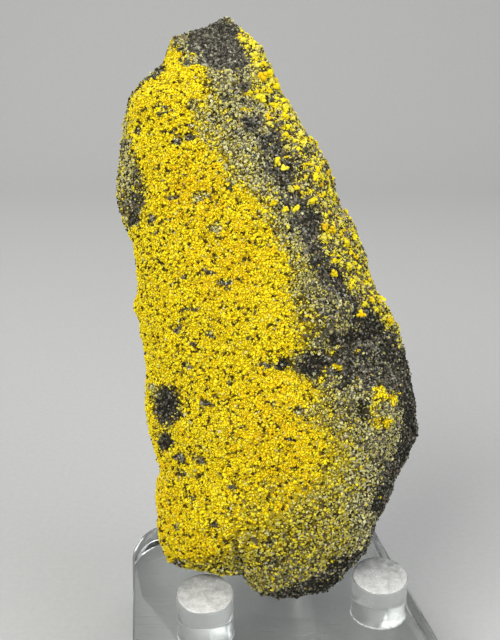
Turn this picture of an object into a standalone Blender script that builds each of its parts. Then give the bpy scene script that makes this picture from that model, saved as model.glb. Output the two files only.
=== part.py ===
"""A specimen of yellow zippeite grown over black coffinite-bearing sandstone, standing on a clear peg stand.

The stone leans back: its foot rests on two short pegs and its back on a taller one, all three on one
clear plate. Every size is in millimetres until MM turns it into metres. +Z is up, and the crusted face
looks along -Y.
"""

import math
import random

import bmesh
import bpy
import numpy as np
from mathutils import Matrix, Vector, noise
from mathutils.bvhtree import BVHTree

MM = 0.001
GAP = 0.3
CONTACT_GAP = 0.45
PROBE_AWAY = 90.0

# The stone, in its own frame: x to the right, y into the stone from its crusted face, z up along the face.
FOOT_Z, PEAK_Z = -1.4, 100.5
LEAN = math.radians(21.0)
STONE_LIFT = 16.9
COLUMNS = 52
ROWS = 58
ROW_CROWDING = 0.42
FRONT_SHARE = 0.62

# The two sides of the outline from the foot to the peak, each point as (x, z).
LEFT_SIDE = (
    (4.6, -1.4), (2.0, -0.6), (-1.0, 0.6), (-3.2, 2.4), (-5.0, 4.3), (-7.5, 4.8), (-15.2, 4.9),
    (-16.9, 6.4), (-17.9, 9.0), (-18.5, 12.5), (-18.5, 17.0), (-18.2, 20.5), (-17.6, 22.2),
    (-18.6, 25.0), (-19.6, 29.0), (-20.3, 33.0), (-20.3, 38.0), (-20.6, 42.0), (-21.0, 46.0),
    (-22.1, 49.5), (-21.9, 53.0), (-22.0, 57.0), (-22.2, 60.5), (-23.7, 63.0), (-24.6, 67.0),
    (-25.2, 72.0), (-24.9, 77.0), (-24.4, 81.0), (-23.4, 84.5), (-21.6, 87.0), (-20.2, 88.5),
    (-18.6, 90.5), (-17.2, 91.8), (-16.5, 94.0), (-15.9, 95.9), (-13.8, 96.5), (-11.0, 96.8),
    (-9.6, 97.6), (-8.6, 99.1), (-7.2, 100.5),
)
RIGHT_SIDE = (
    (4.6, -1.4), (8.9, -0.8), (11.6, 0.7), (14.1, 3.3), (16.7, 6.6), (18.5, 9.4), (19.1, 12.3),
    (20.7, 14.9), (21.9, 18.0), (23.3, 21.5), (24.8, 25.0), (25.7, 28.0), (26.0, 31.0),
    (25.7, 35.0), (25.1, 39.0), (24.7, 42.0), (23.8, 45.0), (22.4, 48.0), (20.7, 50.6),
    (18.8, 52.4), (17.9, 55.4), (16.9, 59.0), (15.9, 61.6), (14.7, 64.6), (13.2, 65.4),
    (12.4, 67.5), (11.2, 71.0), (9.8, 74.2), (8.6, 77.0), (6.6, 80.0), (4.8, 82.8),
    (3.2, 85.8), (1.8, 88.4), (0.6, 90.8), (-0.6, 93.2), (-2.0, 94.8), (-3.6, 96.2),
    (-5.2, 98.4), (-7.2, 100.5),
)

# How deep the crusted face, the back and the two rims lie at each height z.
DEPTH_HEIGHTS = (-1.4, 1.0, 5.0, 9.0, 15.0, 30.0, 45.0, 60.0, 75.0, 85.0, 92.0, 96.0, 98.8, 100.5)
FACE_DEPTH = (4.0, 0.5, -2.5, -5.0, -7.5, -10.5, -11.5, -11.0, -9.0, -7.0, -4.5, -2.2, -0.5, 1.5)
BACK_DEPTH = (4.0, 7.5, 9.5, 11.5, 13.0, 14.0, 13.5, 12.5, 11.0, 9.0, 7.0, 5.0, 3.5, 1.5)
LEFT_RIM_DEPTH = (4.0, 4.0, 3.5, 3.0, 2.5, 1.5, 1.0, 1.0, 2.0, 2.0, 1.5, 1.5, 1.5, 1.5)
RIGHT_RIM_DEPTH = (4.0, 4.0, 4.0, 4.5, 5.0, 5.5, 5.0, 2.0, 1.0, 1.0, 1.0, 1.5, 1.5, 1.5)

# How square the section is to the left and to the right of its middle: 2 is an ellipse, more is squarer.
LEFT_SQUARENESS, RIGHT_SQUARENESS = 3.0, 2.4

# The broken faces of the back and sides: a point on each and the way it faces. FLATNESS is 1 for a plane.
FLATNESS = 0.92
BROKEN_FACES = (
    ((0.0, 11.8, 45.0), (0.06, 1.0, 0.03)),
    ((-15.5, 10.5, 66.0), (-0.62, 0.76, 0.10)),
    ((20.0, 11.0, 30.0), (0.66, 0.74, -0.06)),
    ((3.0, 8.2, 70.0), (0.58, 0.76, 0.26)),
    ((-6.0, 7.4, 86.0), (-0.05, 0.82, 0.56)),
    ((-12.0, 9.6, 16.0), (-0.44, 0.80, -0.36)),
    ((8.0, 9.0, 8.0), (0.20, 0.72, -0.66)),
    ((-22.9, -4.5, 71.0), (-0.87, -0.49, 0.04)),
    ((24.4, -0.5, 28.0), (0.93, -0.36, -0.06)),
    ((8.4, -4.6, 74.0), (0.62, -0.74, 0.24)),
)

# The relief of the crusted face fades in as the surface turns to the viewer, from the first share to the
# second. The lumpy break is calmer by these shares at the rims and on the face.
RELIEF_FACING = (0.25, 0.75)
CALM_AT_RIMS, CALM_ON_FACE = 0.55, 0.35

# Lumps (raised) and pits (sunk) of the crusted face: x, z, radius across, radius up, height.
LUMP_FALL = 1.2
LUMPS_AND_PITS = (
    (-12.0, 13.0, 7.0, 6.5, 1.3),
    (4.0, 24.0, 10.0, 11.0, 0.9),
    (-9.0, 70.0, 9.0, 11.0, 0.9),
    (-16.0, 82.0, 5.0, 6.0, 0.7),
    (18.8, 33.4, 3.4, 3.6, 1.1),
    (12.0, 49.5, 4.5, 3.2, 1.0),
    (12.5, 62.5, 3.0, 4.5, 0.9),
    (7.5, 72.0, 2.6, 5.0, 0.7),
    (-2.0, 92.0, 2.2, 3.6, 0.6),
    (-16.0, 33.2, 2.7, 3.2, -1.5),
    (-16.2, 27.4, 1.5, 1.8, -0.9),
    (-10.6, 24.8, 1.6, 1.4, -0.8),
    (-10.0, 92.5, 4.0, 4.0, -0.9),
    (-18.4, 89.6, 2.0, 2.0, -1.2),
    (-22.0, 66.0, 2.2, 2.6, -0.8),
    (3.6, 40.4, 4.6, 1.6, -1.3),
    (15.4, 32.8, 1.6, 1.8, -0.9),
    (-4.6, 5.6, 1.9, 4.2, -1.6),
    (19.2, 17.0, 1.8, 2.4, -1.0),
)

# The ledge that crosses the right half of the face, and the trough that runs down beside the right rim.
LEDGE_PATH = (
    (0.0, 41.0), (5.0, 42.2), (8.0, 44.8), (11.0, 44.1), (14.5, 45.2), (18.0, 43.4), (23.0, 42.2),
)
LEDGE_RISE, LEDGE_SINK, LEDGE_STEP = 0.5, 1.4, 0.9
RISE_REACH, SINK_REACH = (7.0, 1.5), (-9.0, -2.0)
TROUGH_PATH = ((-1.5, 84.0), (1.5, 76.0), (5.0, 66.0), (7.5, 58.0), (10.5, 52.0))
TROUGH_DEPTH, TROUGH_WIDTH = 1.2, 2.4

# The lumpy break of the whole stone: how high its swells, lumps and knobs are, and how wide.
SWELL, LUMP, KNOB = 1.0, 0.9, 0.6
SWELL_WIDTH, LUMP_WIDTH, KNOB_WIDTH = 13.0, 5.2, 2.4

# Clumps of zippeite large enough to feel with a finger: the plain ones as (x, z), and a band of more.
CLUMP_SIZE, SMALLEST_CLUMP = 0.82, 0.45
CLUMP_SPREAD = (0.85, 1.2)
CLUMP_REACH, CLUMP_GAP, CLUMP_RISE = 1.12, 0.1, 0.2
PLAIN_CLUMPS = (
    (-3.9, 93.8), (-1.2, 92.6), (-0.6, 89.7), (0.4, 88.4), (-0.9, 84.1), (1.4, 86.0), (3.3, 79.2),
    (3.1, 77.3), (5.4, 77.9), (6.2, 76.2), (1.7, 73.4), (2.6, 72.0), (3.9, 68.6), (5.2, 69.2),
    (3.1, 64.9), (4.4, 65.7), (1.3, 66.3), (7.5, 66.8), (9.1, 66.2), (8.0, 72.0), (7.8, 70.2),
    (9.6, 70.0), (10.4, 68.4), (3.0, 62.4), (13.3, 64.1), (11.0, 62.4), (9.1, 62.3), (8.8, 60.2),
    (10.2, 60.8), (9.9, 58.7), (12.6, 60.3), (13.4, 61.8), (14.3, 60.7), (14.6, 58.4), (16.0, 58.7),
    (13.1, 56.1), (10.7, 55.2), (14.9, 54.0), (16.4, 53.7), (17.2, 51.1), (13.3, 52.7), (15.6, 50.4),
    (15.4, 48.2), (17.6, 49.2), (20.1, 47.4), (21.8, 46.2), (19.4, 50.8),
)
CLUMP_BAND = ((-1.5, 91.5), (3.5, 82.5), (6.5, 74.5), (11.5, 65.5), (15.5, 56.0), (21.0, 48.0))
BAND_CLUMPS = 14
BAND_WIDTH = 1.6

# The clear stand. p runs along the two short pegs and q away from the viewer; both are turned from x and y.
# Each corner of the plate is (p, q, corner radius), and the plate is a little wider at the front.
STAND_TURN = math.radians(8.5)
PLATE_CORNERS = ((-23.6, -19.0, 5.0), (28.7, -19.0, 5.0), (25.6, 36.0, 5.0), (-21.1, 36.0, 12.0))
PLATE_THICKNESS = 12.0
CORNER_STEPS = 5
PLATE_EDGE = 0.6
PEG_DIAMETER = 9.5
PEG_SIDES = 32
PEG_CHAMFER = 0.35
SQUARE_RIM = math.radians(60.0)
SHARP_FROM = math.radians(30.0)
LEFT_PEG_AT = (-10.2, -2.2)
RIGHT_PEG_AT = (19.6, 3.4)
REAR_PEG_X = 4.0
REAR_PEG_HEIGHT = 25.3
REAR_PEG_PROBES = (0.0, 0.5, 1.5, 4.0)
DISC_RINGS, DISC_STEPS = (0.0, 0.35, 0.7, 0.9, 1.0), 48
SAWN_SLANT = math.radians(7.5)


def clear_scene():
    """Empties the scene and returns two collections: one for the object and one for its tools."""
    for old in list(bpy.data.objects):
        bpy.data.objects.remove(old)
    made = []
    for name in ("zippeite_specimen", "cutters"):
        collection = bpy.data.collections.new(name)
        bpy.context.scene.collection.children.link(collection)
        made.append(collection)
    return made


def material(name, colour, roughness, transmission=0.0, ior=1.5):
    made = bpy.data.materials.new(name)
    made.use_nodes = True
    shader = made.node_tree.nodes["Principled BSDF"]
    shader.inputs["Base Color"].default_value = (*colour, 1.0)
    shader.inputs["Roughness"].default_value = roughness
    shader.inputs["Metallic"].default_value = 0.0
    shader.inputs["Transmission Weight"].default_value = transmission
    shader.inputs["IOR"].default_value = ior
    return made


def object_from(bm, name, collection, look=None):
    """Turns bm, whose points are in millimetres, into an object in metres."""
    bm.normal_update()
    bmesh.ops.scale(bm, vec=(MM, MM, MM), verts=bm.verts)
    mesh = bpy.data.meshes.new(name)
    bm.to_mesh(mesh)
    bm.free()
    if look:
        mesh.materials.append(look)
    made = bpy.data.objects.new(name, mesh)
    collection.objects.link(made)
    return made


def side_at(side, z):
    """How far to the right one side of the outline lies at height z."""
    edges, heights = zip(*side)
    return float(np.interp(z, heights, edges))


def depth_at(depths, z):
    return float(np.interp(z, DEPTH_HEIGHTS, depths))


def bulge(across, squareness):
    """1 in the middle of a section, where across is 0, and 0 at its rims, where it is -1 or 1."""
    return (1.0 - abs(across) ** squareness) ** (1.0 / squareness)


def stone_point(share_up, share_round):
    """The plain form of the stone: share_up runs from foot to peak, share_round over face and back."""
    wave = math.sin(2.0 * math.pi * share_up) / (2.0 * math.pi)
    z = FOOT_Z + (PEAK_Z - FOOT_Z) * (share_up - ROW_CROWDING * wave)
    left, right = side_at(LEFT_SIDE, z), side_at(RIGHT_SIDE, z)
    on_face = share_round < FRONT_SHARE
    if on_face:
        turn = share_round / FRONT_SHARE
    else:
        turn = 1.0 - (share_round - FRONT_SHARE) / (1.0 - FRONT_SHARE)
    across = math.sin(math.pi * (turn - 0.5))
    rims = depth_at(LEFT_RIM_DEPTH, z), depth_at(RIGHT_RIM_DEPTH, z)
    rim = rims[0] + (rims[1] - rims[0]) * (across + 1.0) / 2.0
    squareness = LEFT_SQUARENESS if across < 0.0 else RIGHT_SQUARENESS
    reach = depth_at(FACE_DEPTH if on_face else BACK_DEPTH, z) - rim
    x = (left + right) / 2.0 + (right - left) / 2.0 * across
    return Vector((x, rim + reach * bulge(across, squareness), z))


def broken(point):
    """Presses a point back to the broken faces that it stands out of."""
    for on_face, way in BROKEN_FACES:
        normal = Vector(way).normalized()
        out = (point - Vector(on_face)).dot(normal)
        if out > 0.0:
            point = point - normal * out * FLATNESS
    return point


def distance_to_path(x, z, path):
    """How far (x, z) lies from a line through the path's points."""
    nearest = math.inf
    for (x0, z0), (x1, z1) in zip(path, path[1:]):
        along = Vector((x1 - x0, z1 - z0))
        away = Vector((x - x0, z - z0))
        share = max(0.0, min(1.0, away.dot(along) / along.length_squared))
        nearest = min(nearest, (away - along * share).length)
    return nearest


def smooth_step(low, high, value):
    share = max(0.0, min(1.0, (value - low) / (high - low)))
    return share * share * (3.0 - 2.0 * share)


def face_relief(x, z):
    """How far the crusted face stands out at (x, z): its lumps, pits, trough and ledge."""
    height = 0.0
    for x0, z0, wide, tall, lift in LUMPS_AND_PITS:
        off = ((x - x0) / wide) ** 2 + ((z - z0) / tall) ** 2
        height += lift * math.exp(-off * LUMP_FALL)
    off_trough = distance_to_path(x, z, TROUGH_PATH) / TROUGH_WIDTH
    height -= TROUGH_DEPTH * math.exp(-off_trough * off_trough)
    ledge_x, ledge_z = zip(*LEDGE_PATH)
    over = z - float(np.interp(x, ledge_x, ledge_z))
    on_ledge = smooth_step(ledge_x[0], ledge_x[3], x) * smooth_step(ledge_x[-1] + 1.0, ledge_x[-3], x)
    above = smooth_step(-LEDGE_STEP, LEDGE_STEP, over)
    rise = LEDGE_RISE * above * smooth_step(*RISE_REACH, over)
    sink = LEDGE_SINK * (1.0 - above) * smooth_step(*SINK_REACH, over)
    return height + on_ledge * (rise - sink)


def roughness_at(point):
    """The lumpy break of the sandstone: broad swells, smaller lumps on them, and knobs on those."""
    swell = noise.noise(point / SWELL_WIDTH + Vector((3.1, 7.7, 1.3)))
    lump = noise.noise(point / LUMP_WIDTH + Vector((9.4, 2.2, 5.8)))
    knob = noise.noise(point / KNOB_WIDTH + Vector((4.6, 8.1, 0.7)))
    return SWELL * swell + LUMP * lump + KNOB * knob


def make_stone(collection, cutters):
    """The stone as one closed skin: a sphere moved to the stone's form, with its clumps joined on."""
    bm = bmesh.new()
    bmesh.ops.create_uvsphere(bm, u_segments=COLUMNS, v_segments=ROWS, radius=1.0)
    for vert in bm.verts:
        share_up = 1.0 - math.acos(max(-1.0, min(1.0, vert.co.z))) / math.pi
        share_round = (math.atan2(vert.co.y, vert.co.x) / (2.0 * math.pi) + 0.5) % 1.0
        vert.co = broken(stone_point(share_up, share_round))
    bm.normal_update()
    moves = []
    for vert in bm.verts:
        faces_viewer = smooth_step(*RELIEF_FACING, -vert.normal.y)
        at_rim = 1.0 - abs(vert.normal.y)
        lift = faces_viewer * face_relief(vert.co.x, vert.co.z)
        calm = (1.0 - CALM_AT_RIMS * at_rim) * (1.0 - CALM_ON_FACE * faces_viewer)
        lift += roughness_at(vert.co) * calm
        moves.append(vert.normal * lift)
    for vert, move in zip(bm.verts, moves):
        vert.co += move
    look = material("coffinite_sandstone", (0.075, 0.072, 0.068), 0.85)
    stone = object_from(bm, "stone", collection, look)
    clumps = make_clumps(stone, cutters)
    join = stone.modifiers.new("clumps", "BOOLEAN")
    join.operation = "UNION"
    join.object = clumps
    join.use_self = True
    return stone


def clump_places():
    """Where the clumps sit on the face and how big each is, as (x, z, size): none grows into another."""
    draw = random.Random(41)
    wanted = list(PLAIN_CLUMPS)
    xs, zs = zip(*CLUMP_BAND)
    for step in np.linspace(0.0, len(CLUMP_BAND) - 1.0, BAND_CLUMPS):
        x = float(np.interp(step, range(len(xs)), xs)) + draw.uniform(-BAND_WIDTH, BAND_WIDTH)
        z = float(np.interp(step, range(len(zs)), zs)) + draw.uniform(-BAND_WIDTH, BAND_WIDTH)
        wanted.append((x, z))
    places = []
    for x, z in wanted:
        size = CLUMP_SIZE * draw.uniform(*CLUMP_SPREAD)
        for other_x, other_z, other_size in places:
            room = math.hypot(x - other_x, z - other_z) - other_size * CLUMP_REACH - CLUMP_GAP
            size = min(size, room / CLUMP_REACH)
        if size > SMALLEST_CLUMP:
            places.append((x, z, size))
    return places


def make_clumps(stone, cutters):
    """The larger clumps of zippeite: flat-faced beads, each with its middle just above the face."""
    draw = random.Random(17)
    bm_stone = bmesh.new()
    bm_stone.from_mesh(stone.data)
    tree = BVHTree.FromBMesh(bm_stone)
    bm = bmesh.new()
    for x, z, size in clump_places():
        hit, normal, _, _ = tree.ray_cast(Vector((x, -PROBE_AWAY, z)) * MM, Vector((0.0, 1.0, 0.0)))
        if hit is None:
            continue
        spin = Matrix.Rotation(draw.uniform(0.0, math.tau), 4, normal)
        stretch = Matrix.Diagonal([draw.uniform(2.0 - CLUMP_REACH, CLUMP_REACH) for _ in range(3)] + [1.0])
        place = Matrix.Translation(hit / MM + normal * size * CLUMP_RISE) @ spin @ stretch
        bmesh.ops.create_icosphere(bm, subdivisions=1, radius=size, matrix=place)
    bm_stone.free()
    clumps = object_from(bm, "clump_shapes", cutters)
    clumps.hide_render = True
    clumps.display_type = "WIRE"
    return clumps


def lean_stone(stone, root):
    stone.parent = root
    stone.rotation_euler = (-LEAN, 0.0, 0.0)
    stone.location = (0.0, 0.0, STONE_LIFT * MM)
    clumps = stone.modifiers["clumps"].object
    clumps.parent = stone


def surface_tree(obj):
    """The object's evaluated surface in world space, ready to be probed with rays."""
    bpy.context.view_layer.update()
    graph = bpy.context.evaluated_depsgraph_get()
    evaluated = obj.evaluated_get(graph)
    mesh = evaluated.to_mesh()
    points = [evaluated.matrix_world @ vert.co for vert in mesh.vertices]
    faces = [tuple(polygon.vertices) for polygon in mesh.polygons]
    evaluated.to_mesh_clear()
    return BVHTree.FromPolygons(points, faces)


def disc_offsets(radius):
    """Points spread over a disc and round its rim."""
    offsets = []
    for share in DISC_RINGS:
        for step in range(DISC_STEPS):
            turn = math.tau * step / DISC_STEPS
            offsets.append((radius * share * math.cos(turn), radius * share * math.sin(turn)))
    return offsets


def short_peg_height(tree, at):
    """How tall a short peg at (x, y) is, to end just under the stone that rests on its sawn top."""
    top = math.inf
    for dx, dy in disc_offsets(PEG_DIAMETER / 2.0):
        start = Vector((at[0] + dx, at[1] + dy, PLATE_THICKNESS + GAP)) * MM
        hit, _, _, _ = tree.ray_cast(start, Vector((0.0, 0.0, 1.0)))
        if hit is not None:
            top = min(top, hit.z / MM - dy * math.tan(SAWN_SLANT))
    return top - CONTACT_GAP - PLATE_THICKNESS - GAP


def rear_peg_y(tree, x):
    """Where the tall peg stands so that its top comes just short of the stone's back."""
    radius = PEG_DIAMETER / 2.0
    nearest = -math.inf
    for dx, dy in disc_offsets(radius):
        for down in REAR_PEG_PROBES:
            z = PLATE_THICKNESS + GAP + REAR_PEG_HEIGHT - down
            start = Vector((x + dx, PROBE_AWAY, z)) * MM
            hit, _, _, _ = tree.ray_cast(start, Vector((0.0, -1.0, 0.0)))
            if hit is not None:
                nearest = max(nearest, hit.y / MM - dy)
    return nearest + CONTACT_GAP


def make_peg(name, at, height, slant, collection, look, root):
    """A length of clear rod that stands on the plate. Its sawn top slopes down towards the viewer."""
    bm = bmesh.new()
    radius = PEG_DIAMETER / 2.0
    bmesh.ops.create_cone(
        bm, cap_ends=True, segments=PEG_SIDES, radius1=radius, radius2=radius, depth=height,
        matrix=Matrix.Translation((0.0, 0.0, height / 2.0)),
    )
    for vert in bm.verts:
        if vert.co.z > height / 2.0:
            vert.co.z += vert.co.y * math.tan(slant)
    rims = [edge for edge in bm.edges if edge.calc_face_angle() > SQUARE_RIM]
    bmesh.ops.bevel(bm, geom=rims, offset=PEG_CHAMFER, segments=1, affect="EDGES")
    peg = object_from(bm, name, collection, look)
    peg.location = Vector((*at, PLATE_THICKNESS + GAP)) * MM
    peg.parent = root
    peg.data.shade_smooth()
    peg.data.set_sharp_from_angle(angle=SHARP_FROM)
    return peg


def make_plate(collection, look, root):
    """The clear plate: a slab with its four corners rounded, one of them more, and its edges eased."""
    bm = bmesh.new()
    feet = [bm.verts.new((p, q, 0.0)) for p, q, _ in PLATE_CORNERS]
    underside = bm.faces.new(feet)
    grown = bmesh.ops.extrude_face_region(bm, geom=[underside])
    raised = [part for part in grown["geom"] if isinstance(part, bmesh.types.BMVert)]
    bmesh.ops.translate(bm, vec=(0.0, 0.0, PLATE_THICKNESS), verts=raised)
    bmesh.ops.recalc_face_normals(bm, faces=bm.faces)
    for p, q, radius in PLATE_CORNERS:
        at = Vector((p, q))
        upright = [edge for edge in bm.edges if max((vert.co.xy - at).length for vert in edge.verts) < GAP]
        bmesh.ops.bevel(bm, geom=upright, offset=radius, segments=CORNER_STEPS, profile=0.5, affect="EDGES")
    plate = object_from(bm, "stand_plate", collection, look)
    ease = plate.modifiers.new("eased_edges", "BEVEL")
    ease.width = PLATE_EDGE * MM
    ease.segments = 1
    ease.limit_method = "ANGLE"
    ease.angle_limit = SHARP_FROM
    plate.rotation_euler = (0.0, 0.0, STAND_TURN)
    plate.parent = root
    return plate


def centre_over_origin(root, pieces):
    """Moves everything so that the origin is at the middle of the whole object's underside."""
    bpy.context.view_layer.update()
    graph = bpy.context.evaluated_depsgraph_get()
    corners = []
    for piece in pieces:
        evaluated = piece.evaluated_get(graph)
        mesh = evaluated.to_mesh()
        corners.extend(evaluated.matrix_world @ vert.co for vert in mesh.vertices)
        evaluated.to_mesh_clear()
    for axis in (0, 1):
        values = [corner[axis] for corner in corners]
        root.location[axis] -= (min(values) + max(values)) / 2.0


def main():
    collection, cutters = clear_scene()
    root = bpy.data.objects.new("specimen_on_stand", None)
    collection.objects.link(root)
    stone = make_stone(collection, cutters)
    lean_stone(stone, root)
    tree = surface_tree(stone)
    acrylic = material("clear_acrylic", (0.95, 0.96, 0.96), 0.08, transmission=1.0, ior=1.49)
    pieces = [stone, make_plate(collection, acrylic, root)]
    for name, at in (("short_peg_left", LEFT_PEG_AT), ("short_peg_right", RIGHT_PEG_AT)):
        height = short_peg_height(tree, at)
        pieces.append(make_peg(name, at, height, SAWN_SLANT, collection, acrylic, root))
    rear_at = (REAR_PEG_X, rear_peg_y(tree, REAR_PEG_X))
    pieces.append(make_peg("tall_peg_rear", rear_at, REAR_PEG_HEIGHT, 0.0, collection, acrylic, root))
    centre_over_origin(root, pieces)


main()
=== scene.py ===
import math

import bmesh
import bpy
import numpy as np
from mathutils import Matrix, Vector, noise


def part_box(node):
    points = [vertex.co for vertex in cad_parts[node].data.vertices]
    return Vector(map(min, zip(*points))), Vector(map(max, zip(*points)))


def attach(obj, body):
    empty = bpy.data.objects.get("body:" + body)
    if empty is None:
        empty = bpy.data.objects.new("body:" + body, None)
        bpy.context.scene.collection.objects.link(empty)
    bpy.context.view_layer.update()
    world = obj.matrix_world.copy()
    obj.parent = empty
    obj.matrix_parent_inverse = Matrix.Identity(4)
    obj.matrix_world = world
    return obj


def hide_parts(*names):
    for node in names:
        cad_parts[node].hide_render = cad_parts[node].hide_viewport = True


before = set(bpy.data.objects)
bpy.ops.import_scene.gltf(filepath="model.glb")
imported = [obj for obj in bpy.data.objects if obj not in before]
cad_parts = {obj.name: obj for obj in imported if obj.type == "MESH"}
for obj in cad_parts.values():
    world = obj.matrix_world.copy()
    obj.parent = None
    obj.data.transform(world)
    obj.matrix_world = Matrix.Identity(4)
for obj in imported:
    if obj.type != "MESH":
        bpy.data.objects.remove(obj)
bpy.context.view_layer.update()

# The clear plate of the stand: cast acrylic slab 12 mm thick, sawn to size, its corners rounded and its faces
# and edges polished. It lies flat on the shelf, turned a little from the stone, and carries the three pegs.

MM = 0.001
STAND_TURN = math.radians(8.5)
# Where the stone's foot is: from the left peg, and in millimetres above the shelf.
LEFT_PEG_FROM_STONE = Vector((-10.2, -2.2, 0.0)) * MM
STONE_LIFT = 16.9
# Each corner is (across, back, radius) in millimetres, from under the stone's foot along the plate's sides.
PLATE_CORNERS = ((-23.6, -19.0, 5.0), (28.7, -19.0, 5.0), (25.6, 36.0, 5.0), (-21.1, 36.0, 12.0))
CORNER_STEPS = 14
EASED_EDGE, EASED_STEPS = 0.5, 3
LEVEL_WITHIN = 0.1
PLATE_CREASE = math.radians(35.0)
ACRYLIC_TINT, ACRYLIC_IOR = (0.97, 0.985, 0.98, 1.0), 1.49
ACRYLIC_DEPTH_TINT, ACRYLIC_DENSITY = (0.80, 0.93, 0.88, 1.0), 3.0
# Hairline scratches, each (turn about the upright, how close they lie to a metre along each axis).
POLISHED_SCRATCHES = ((0.4, (60, 1900, 60)), (1.9, (60, 2600, 60)))
SCRATCH_DEPTH = 0.08


def placed(name, data):
    """A new object that shows data, linked to the scene."""
    made = bpy.data.objects.new(name, data)
    bpy.context.scene.collection.objects.link(made)
    return made


def piece_from(bm, name, *looks):
    """Makes an object of bm, whose points are in metres in the frame, and lets it ride with the specimen."""
    mesh = bpy.data.meshes.new(name)
    bm.to_mesh(mesh)
    bm.free()
    for look in looks:
        mesh.materials.append(look)
    piece = placed(name, mesh)
    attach(piece, "root")
    return piece


def new_material(name, **sockets):
    """A Principled material with these values set on the shader's own sockets."""
    look = bpy.data.materials.new(name)
    look.use_nodes = True
    shader = look.node_tree.nodes["Principled BSDF"]
    for socket, value in sockets.items():
        shader.inputs[socket.replace("_", " ")].default_value = value
    return look, look.node_tree, shader


def add_node(tree, kind, links=(), **values):
    """Adds a node. links are (output socket, input name or number), and values set its other inputs."""
    node = tree.nodes.new(kind)
    for name, value in values.items():
        if hasattr(node, name):
            setattr(node, name, value)
        else:
            node.inputs[name.replace("_", " ")].default_value = value
    for source, target in links:
        tree.links.new(source, node.inputs[target])
    return node


def blotches(tree, place, scale, detail, roughness=0.5):
    """Soft random blotches, about scale of them to a metre."""
    return add_node(
        tree, "ShaderNodeTexNoise", [(place, "Vector")], Scale=scale, Detail=detail, Roughness=roughness,
    ).outputs["Fac"]


def rescaled(tree, value, low, high, new_low=0.0, new_high=1.0):
    """value, with low to high turned into new_low to new_high."""
    return add_node(
        tree, "ShaderNodeMapRange", [(value, "Value")],
        From_Min=low, From_Max=high, To_Min=new_low, To_Max=new_high,
    ).outputs["Result"]


def relief(tree, height, strength, depth, inward=False, over=None):
    """Bumps where height is high, or dents if inward, depth millimetres deep and lying over others."""
    links = [(height, "Height")] if over is None else [(height, "Height"), (over, "Normal")]
    return add_node(
        tree, "ShaderNodeBump", links, Strength=strength, Distance=depth * MM, invert=inward,
    ).outputs["Normal"]


def acrylic(name, roughness, clearness, scratch_runs):
    """Clear acrylic, faintly green in its depth, with hairline scratches along each (turn, scale)."""
    look, tree, shader = new_material(
        name, Base_Color=ACRYLIC_TINT, Roughness=roughness, Transmission_Weight=clearness, IOR=ACRYLIC_IOR,
    )
    place = tree.nodes.new("ShaderNodeTexCoord").outputs["Object"]
    heights = []
    for turn, scale in scratch_runs:
        run = add_node(tree, "ShaderNodeMapping", [(place, "Vector")])
        run.inputs["Rotation"].default_value = (0.0, 0.0, turn)
        run.inputs["Scale"].default_value = scale
        streaks = blotches(tree, run.outputs["Vector"], 1.0, 3.0, 0.6)
        heights.append(rescaled(tree, streaks, 0.66, 0.72))
    scratches = add_node(tree, "ShaderNodeMath", [(heights[0], 0), (heights[1], 1)], operation="MAXIMUM")
    dents = relief(tree, scratches.outputs["Value"], 0.22, SCRATCH_DEPTH, inward=True)
    tree.links.new(dents, shader.inputs["Normal"])
    depth = add_node(tree, "ShaderNodeVolumeAbsorption", Color=ACRYLIC_DEPTH_TINT, Density=ACRYLIC_DENSITY)
    tree.links.new(depth.outputs["Volume"], tree.nodes["Material Output"].inputs["Volume"])
    return look


def rounded_outline(corners, steps):
    """The points of a flat outline whose corners, each (across, back, radius), are rounded."""
    outline = []
    for i, (across, back, radius) in enumerate(corners):
        corner = Vector((across, back))
        to_last = (Vector(corners[i - 1][:2]) - corner).normalized()
        to_next = (Vector(corners[(i + 1) % len(corners)][:2]) - corner).normalized()
        half = to_last.angle(to_next) / 2.0
        centre = corner + (to_last + to_next).normalized() * radius / math.sin(half)
        first = corner + to_last * radius / math.tan(half) - centre
        sweep = math.pi - 2.0 * half
        for step in range(steps + 1):
            turn = sweep * step / steps
            out = Vector((
                first.x * math.cos(turn) - first.y * math.sin(turn),
                first.x * math.sin(turn) + first.y * math.cos(turn),
            ))
            outline.append(centre + out)
    return outline


peg_low, peg_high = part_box("short_peg_left")
stone_origin = (peg_low + peg_high) / 2.0 - LEFT_PEG_FROM_STONE
stone_origin.z = STONE_LIFT * MM

low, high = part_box("stand_plate")
bm = bmesh.new()
plate_outline = rounded_outline(PLATE_CORNERS, CORNER_STEPS)
rim = [bm.verts.new((spot.x * MM, spot.y * MM, low.z)) for spot in plate_outline]
underside = bm.faces.new(rim)
grown = bmesh.ops.extrude_face_region(bm, geom=[underside])
raised = [part for part in grown["geom"] if isinstance(part, bmesh.types.BMVert)]
bmesh.ops.translate(bm, vec=(0.0, 0.0, high.z - low.z), verts=raised)
bmesh.ops.recalc_face_normals(bm, faces=bm.faces)
rims = [edge for edge in bm.edges if abs(edge.verts[0].co.z - edge.verts[1].co.z) < LEVEL_WITHIN * MM]
bmesh.ops.bevel(bm, geom=rims, offset=EASED_EDGE * MM, segments=EASED_STEPS, profile=0.5, affect="EDGES")
bmesh.ops.rotate(bm, cent=(0.0, 0.0, 0.0), matrix=Matrix.Rotation(STAND_TURN, 3, "Z"), verts=bm.verts)
bmesh.ops.translate(bm, vec=(stone_origin.x, stone_origin.y, 0.0), verts=bm.verts)
polished_acrylic = acrylic(
    "polished_acrylic", roughness=0.03, clearness=1.0, scratch_runs=POLISHED_SCRATCHES,
)
plate = piece_from(bm, "acrylic_plate", polished_acrylic)
plate.data.shade_smooth()
plate.data.set_sharp_from_angle(angle=PLATE_CREASE)
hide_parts("stand_plate")


# The pegs: clear acrylic rod sawn off by hand, so that each top is frosted and slopes a little to the front.
# A low bead of cement fixes each to the plate. The two short ones carry the stone's foot, and the tall one
# its back.

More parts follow.
